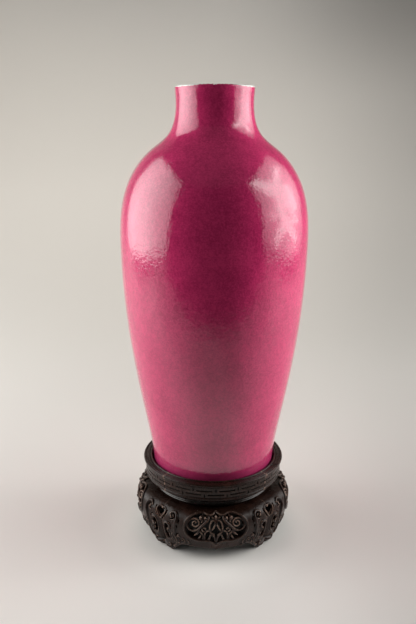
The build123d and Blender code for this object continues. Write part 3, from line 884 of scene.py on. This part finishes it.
class STAND_OT_skirt(bpy.types.Operator):
    """Carves one board flat, wraps it onto its lobe and copies it round."""
    bl_idname = "stand.skirt"
    bl_label = "Carved skirt boards"

    def execute(self, context):
        sizes = context.scene.stand_settings
        proud = sizes.relief / MM
        loops, grooves = board_loops()
        parts = [
            slab("board", loops, GROOVE_DEPTH - 0.5, BOARD_DEPTH),
            slab("board face", loops + grooves, 0.0, GROOVE_DEPTH)]
        rim = smooth_line([(u, w, 1.15) for u, w in RIM], 0.8)
        for flip in (False, True):
            side = mirrored if flip else list
            parts.append(strand("rim", side([tuple(p) for p in rim]), 1.0, 1.6 + proud * 0.5))
            for name, (sunk, points) in STRANDS.items():
                points = [(u, w, half * 0.88) for u, w, half in points]
                parts.append(strand(name, side(points), 2.6 + sunk, 2.6))
            for name, points in RELIEF.items():
                points = [(u, w, half * 0.9) for u, w, half in points]
                parts.append(strand(name, side(points), 0.3, 1.4))
        board = parts[0]
        only(*parts)
        bpy.ops.object.join()
        modify(board, "REMESH", mode="VOXEL", voxel_size=sizes.voxel / MM)
        modify(board, "SMOOTH", factor=0.5, iterations=2)
        spots = coordinates(board.data)
        # painted shade: parts more than 1.6 mm under the face are stored as deep and darkened by the wood
        # finish
        give(board.data, "deep", np.clip((-1.6 - spots[:, 2]) / 3.0, 0, 1))
        front = np.clip(1 + spots[:, 2] / 3, 0, 1)
        for i, spot in enumerate(spots):
            if front[i] > 0:
                spots[i, 2] += front[i] * (
                    0.16 * noise.noise(Vector(spot) * 0.16) + 0.07 * noise.noise(Vector(spot) * 0.7))
        place(board.data, wrapped(spots))
        only(board)
        bpy.ops.object.mode_set(mode="EDIT")
        for sign in (-1, 1):
            cut((0, -MITRE_SETBACK * math.sqrt(2), 0), (sign, 1, 0), use_fill=True, clear_outer=True)
        cut((0, 0, SKIRT_FOOT), (0, 0, -1), use_fill=True, clear_outer=True)
        bpy.ops.mesh.select_all(action="SELECT")
        bpy.ops.mesh.normals_make_consistent(inside=False)
        bpy.ops.object.mode_set(mode="OBJECT")
        store_curvature(board)
        modify(board, "DECIMATE", ratio=0.42)
        place(board.data, np.maximum(coordinates(board.data), (-1, -1, SKIRT_FOOT)))
        only(board)
        bpy.ops.object.shade_smooth()
        for quarter, side in enumerate(SIDES):
            part = copied(board, "carved_skirt_" + side, 90 * quarter)
            part.data.materials.append(bpy.data.materials["carved hardwood"])
            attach(part, "stand")
            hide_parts("skirt_" + side)
        bpy.data.objects.remove(board)
        return {"FINISHED"}


class STAND_OT_woods(bpy.types.Operator):
    """Mixes the two woods and finishes the joinery inside the stand."""
    bl_idname = "stand.woods"
    bl_label = "Woods and inner joinery"

    def execute(self, context):
        sizes = context.scene.stand_settings
        wood_finish("carved hardwood", sizes.wood, sizes.wood_red, sizes.wood_worn_and_highlight, 0.28, 0.25)
        # the waist's base colour is painted shade, darker than the rest of the stand
        wood_finish("polished hardwood", sizes.waist_wood_painted_shade, sizes.wood, sizes.wood_worn_and_highlight, 0.16, 0.62)
        inner = wood_finish("plain hardwood", sizes.inner_wood, sizes.wood_red, None, 0.6, 0.24)
        names = ["seat_board", "collar_pegs", "waist_pegs"]
        for kind in ("collar_key_", "leg_tongue_", "corner_block_"):
            names += [kind + corner for corner in CORNERS]
        for name in names:
            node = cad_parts[name]
            node.data.materials.clear()
            node.data.materials.append(inner)
        return {"FINISHED"}


# --- studio
CAMERA_SPOT = (-0.02879, -0.66193, 0.40751)
CAMERA_ANGLES = (-2.0, 74.92, 0.18)
CAMERA_LENS = 39.93
BOX_LOW, BOX_HIGH, BOX_FRONT, BOX_BACK = 0.093, 1.247, -0.67, 0.72
BOX_THICKNESS, BOX_LEAN = 0.1, 0.2
CREASE_GAIN, CREASE_STRETCH = 3.2, 0.3
WARM_WHITE = (1, 0.985, 0.96)
PAPER_FRONT = -0.17
CREASES = [
    ((-0.55, 1.18), (-0.28, 0.90), 0.034), ((-0.28, 0.90), (-0.08, 0.74), 0.044),
    ((-0.08, 0.74), (0.01, 0.50), 0.034), ((0.22, 0.66), (0.24, 0.42), 0.026),
    ((-0.08, 0.80), (0.30, 0.95), 0.030), ((0.01, 0.50), (-0.16, 0.47), 0.012),
    ((-0.24, 0.54), (-0.09, 0.42), 0.009), ((-0.09, 0.42), (0.05, 0.34), 0.013),
    ((-0.44, 0.49), (-0.32, 0.44), 0.006), ((-0.32, 0.44), (0.05, 0.335), 0.009),
    ((0.02, 0.34), (0.35, 0.31), 0.014), ((0.02, 0.34), (-0.11, 0.305), 0.021),
    ((-0.11, 0.305), (-0.20, 0.26), 0.022), ((-0.20, 0.26), (-0.31, 0.175), 0.010),
    ((-0.02, 0.32), (0.29, 0.18), 0.013)]


def creased(spots, creases):
    """How far each spot of a diffuser lies on a crease of its cloth, from 0 to 1: along and up, in metres."""
    flat = np.column_stack([spots[:, 1] * CREASE_STRETCH, spots[:, 2]])
    total = np.zeros(len(flat))
    for start, end, wide in creases:
        start, end = (np.array([along * CREASE_STRETCH, up]) for along, up in (start, end))
        run = end - start
        part = np.clip((flat - start) @ run / (run @ run), 0, 1)
        gap = np.linalg.norm(flat - start - part[:, None] * run, axis=1)
        total = np.maximum(total, 1 / (1 + (gap / wide) ** 4))
    return total


def softbox(name, side, level, middle, reach, creases):
    """A softbox leaning over the object: a dark case and a creased diffuser, brightest by its lamp."""
    bpy.ops.mesh.primitive_cube_add(size=1, location=(0, 0, 0))
    case = named(bpy.context.object, name)
    spots = coordinates(case.data) + 0.5
    outward = spots[:, 0] if side > 0 else 1 - spots[:, 0]
    lean = 1.0 - BOX_LEAN * spots[:, 2]
    place(case.data, np.column_stack([
        side * (lean + BOX_THICKNESS * outward), BOX_FRONT + (BOX_BACK - BOX_FRONT) * spots[:, 1],
        BOX_LOW + (BOX_HIGH - BOX_LOW) * spots[:, 2]]))
    cloth = Finish(name + " case").connect(Base_Color=(0.01, 0.01, 0.01), Roughness=0.9)
    diffuser = Finish(name + " diffuser")
    along, up = (diffuser.part(diffuser.position(), axis) for axis in "YZ")
    off_along = (along - middle[0]) / reach[0]
    off_up = (up - middle[1]) / reach[1]
    glow = 1 / ((1 + off_along * off_along) * (1 + off_up * off_up))
    fold = diffuser.grain(diffuser.position(), 3.0, 3, 0.5, 0.8)
    glow = glow * (0.53 + fold * 0.3) * (1 + diffuser.stored("crease") * CREASE_GAIN)
    shade = diffuser.blend(glow, (0, 0, 0), WARM_WHITE)
    white = diffuser.connect(
        Base_Color=(0, 0, 0), Roughness=1.0, Emission_Color=shade, Emission_Strength=level)
    case.data.materials.append(cloth)
    case.data.materials.append(white)
    inward = min(case.data.polygons, key=lambda face: side * face.normal.x)
    inward.material_index = 1
    select_faces(case, np.arange(len(case.data.polygons)) == inward.index)
    bpy.ops.mesh.subdivide(number_cuts=150)
    bpy.ops.object.mode_set(mode="OBJECT")
    give(case.data, "crease", creased(coordinates(case.data), creases))
    case.visible_camera = False


def hidden_lamp(name, spot, turn, size, spread, strength, tint=WARM_WHITE):
    """A lamp over the paper or beside the object, seen by neither the camera nor the glaze."""
    panel = bpy.data.lights.new(name, "AREA")
    panel.shape = "RECTANGLE"
    panel.size, panel.size_y = size
    panel.spread = math.radians(spread)
    panel.energy = strength
    panel.color = tint
    lamp = bpy.data.objects.new(name, panel)
    bpy.context.collection.objects.link(lamp)
    lamp.location = spot
    lamp.rotation_euler = [math.radians(angle) for angle in turn]
    lamp.visible_camera = False
    lamp.visible_glossy = False


def paper_pieces(line):
    """The paper behind a line, the paper before it as the camera sees it, and as it lights the object."""
    for name, behind, seen, lights in (
            ("paper_sweep", True, True, True), ("paper_front", False, True, False),
            ("paper_glow", False, False, True)):
        sweep = lathe(name, line, 96)
        only(sweep)
        bpy.ops.object.mode_set(mode="EDIT")
        cut((0, PAPER_FRONT, 0), (0, 1, 0), clear_inner=behind, clear_outer=not behind)
        bpy.ops.object.mode_set(mode="OBJECT")
        sweep.visible_camera = seen
        sweep.visible_glossy = lights
        sweep.visible_diffuse = lights
        sweep.visible_shadow = behind
        yield sweep, not seen


class STUDIO_OT_stage(bpy.types.Operator):
    """Lays the paper sweep, hangs the softboxes and sets the camera."""
    bl_idname = "studio.stage"
    bl_label = "Studio"

    def execute(self, context):
        sizes = context.scene.studio_settings
        scene = context.scene
        curve = arc((0.7, 1.1), 1.1, -90, 0, 40)
        line = np.vstack([[(0, 0), (0.1, 0), (0.3, 0), (0.5, 0)], curve, [(1.8, 1.5), (1.8, 2.0)]])
        for sweep, fades in paper_pieces(line):
            sweep.data.materials.append(paper_finish(sweep.name, sizes.floor, fades))
        softbox("softbox_left", -1, sizes.left, (0.14, 0.45), (0.65, 0.95), [])
        softbox("softbox_right", 1, sizes.right, (0.10, 0.60), (0.62, 0.55), CREASES)
        hidden_lamp(
            "backdrop_lamp", (-0.25, 1.05, 1.45), (0, 0, 0), (1.2, 0.4), 110, sizes.backdrop,
            (1.0, 0.925, 0.81))
        hidden_lamp("lamp_left", (-0.85, 0.08, 0.30), (90, 0, -95), (0.3, 0.4), 40, sizes.lamp_left)
        hidden_lamp("lamp_right", (0.85, 0.08, 0.30), (90, 0, 95), (0.3, 0.4), 40, sizes.lamp_right)
        world = bpy.data.worlds.new("studio")
        scene.world = world
        world.use_nodes = True
        background = world.node_tree.nodes["Background"]
        background.inputs["Color"].default_value = (1, 0.98, 0.95, 1)
        background.inputs["Strength"].default_value = sizes.fill
        camera_data = bpy.data.cameras.new("camera")
        camera = bpy.data.objects.new("camera", camera_data)
        scene.collection.objects.link(camera)
        camera_data.lens = CAMERA_LENS
        camera_data.sensor_width = 36
        camera_data.clip_start, camera_data.clip_end = 0.01, 20
        turn, tilt, roll = (
            Matrix.Rotation(math.radians(angle), 4, axis) for angle, axis in zip(CAMERA_ANGLES, "ZXZ"))
        camera.matrix_world = Matrix.Translation(CAMERA_SPOT) @ turn @ tilt @ roll
        scene.camera = camera
        scene.view_settings.view_transform = "Standard"
        return {"FINISHED"}


# --- add-on
class VASE_PT_panel(bpy.types.Panel):
    bl_idname = "VASE_PT_panel"
    bl_label = "Vase and stand"
    bl_space_type = "VIEW_3D"
    bl_region_type = "UI"
    bl_category = "Vase"

    def draw(self, context):
        scene = context.scene
        groups = (
            (scene.vase_settings, ("vase.body",)),
            (scene.stand_settings, ("stand.woods", "stand.collar", "stand.waist", "stand.skirt")),
            (scene.studio_settings, ("studio.stage",)),
        )
        for settings, operators in groups:
            box = self.layout.box()
            for key in settings.bl_rna.properties.keys():
                if key not in ("rna_type", "name"):
                    box.prop(settings, key)
            for operator in operators:
                box.operator(operator)


SETTINGS = {"vase_settings": VaseSettings, "stand_settings": StandSettings, "studio_settings": StudioSettings}
CLASSES = (
    *SETTINGS.values(), VASE_OT_body, STAND_OT_woods, STAND_OT_collar, STAND_OT_waist, STAND_OT_skirt,
    STUDIO_OT_stage, VASE_PT_panel)


def register():
    for kind in CLASSES:
        bpy.utils.register_class(kind)
    for name, kind in SETTINGS.items():
        setattr(bpy.types.Scene, name, bpy.props.PointerProperty(type=kind))


def unregister():
    for name in SETTINGS:
        delattr(bpy.types.Scene, name)
    for kind in reversed(CLASSES):
        bpy.utils.unregister_class(kind)


def main():
    register()
    bpy.ops.vase.body()
    bpy.ops.stand.woods()
    bpy.ops.stand.collar()
    bpy.ops.stand.waist()
    bpy.ops.stand.skirt()
    bpy.ops.studio.stage()


if __name__ == "__main__":
    main()
